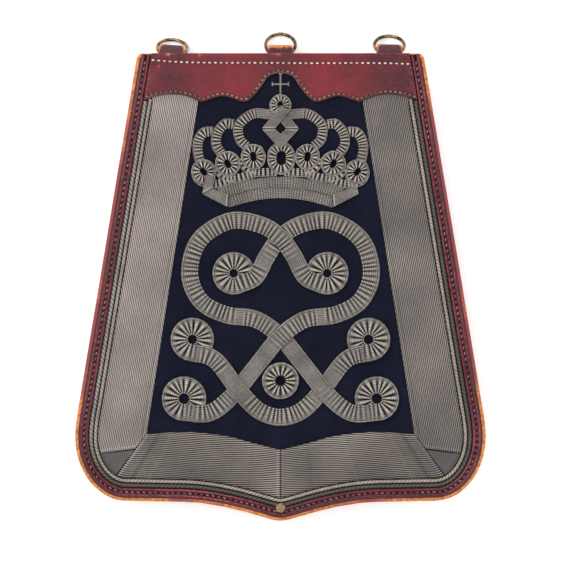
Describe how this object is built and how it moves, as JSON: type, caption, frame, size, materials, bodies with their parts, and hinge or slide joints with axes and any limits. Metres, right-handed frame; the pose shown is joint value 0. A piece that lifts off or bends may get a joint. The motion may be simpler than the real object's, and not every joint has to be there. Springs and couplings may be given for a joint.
{
  "type": "sabretache",
  "caption": "Flat dress sabretache: flared leather panel with a scalloped top band, metal lace border, braided crown and knot, hanging tabs with rings and a hollow pouch behind.",
  "frame": {"origin": "centre of the object's bounding box in plan, on the surface that it lies on", "axes": "+Y towards the hanging rings, +Z out of the decorated front, +X to its right"},
  "size_m": [0.2986, 0.3571, 0.0334],
  "materials": {
    "pouch_leather": "dark red-brown plain leather, matt",
    "tan_leather": "natural tan cut edge, stained in places",
    "red_leather": "grained dark red morocco, half gloss, worn orange on the creases",
    "blue_cloth": "very dark blue felted wool cloth",
    "metal_lace": "ribbed woven silver lace, tarnished",
    "metal_braid": "pleated flat silver braid, tarnished grey",
    "twisted_cord": "twisted two-ply cord, grey-blue and grey-tan",
    "brass": "old dull brass wire"
  },
  "bodies": {
    "root": {"border_cord_inner": "twisted_cord", "border_cord_outer": "twisted_cord", "border_strip": "red_leather", "cloth_field": "blue_cloth", "cord_button": "twisted_cord", "crown_arch_inner_left": "metal_braid", "crown_arch_inner_right": "metal_braid", "crown_arch_middle_left": "metal_braid", "crown_arch_middle_right": "metal_braid", "crown_arch_outer_left": "metal_braid", "crown_arch_outer_right": "metal_braid", "crown_base_end_left": "metal_braid", "crown_base_end_right": "metal_braid", "crown_base_lower": "metal_braid", "crown_base_upper": "metal_braid", "crown_cross": "metal_braid", "crown_diamond": "metal_braid", "crown_orb": "metal_braid", "crown_rosette_inner_left": "metal_braid", "crown_rosette_inner_right": "metal_braid", "crown_rosette_loop": "metal_braid", "crown_rosette_middle_left": "metal_braid", "crown_rosette_middle_right": "metal_braid", "crown_rosette_outer_left": "metal_braid", "crown_rosette_outer_right": "metal_braid", "knot_garland": "metal_braid", "knot_rosette_lower_left": "metal_braid", "knot_rosette_lower_right": "metal_braid", "knot_rosette_middle": "metal_braid", "knot_rosette_side_left": "metal_braid", "knot_rosette_side_right": "metal_braid", "knot_rosette_upper_left": "metal_braid", "knot_rosette_upper_right": "metal_braid", "knot_strand_left": "metal_braid", "knot_strand_right": "metal_braid", "lace_bottom_left": "metal_lace", "lace_bottom_right": "metal_lace", "lace_corner_left": "metal_lace", "lace_corner_right": "metal_lace", "lace_side_left": "metal_lace", "lace_side_right": "metal_lace", "panel_board": "tan_leather", "pouch": "pouch_leather", "ring_centre": "brass", "ring_left": "brass", "ring_right": "brass", "tab_centre": "red_leather", "tab_left": "red_leather", "tab_right": "red_leather", "top_band": "red_leather"}
  },
  "joints": []
}
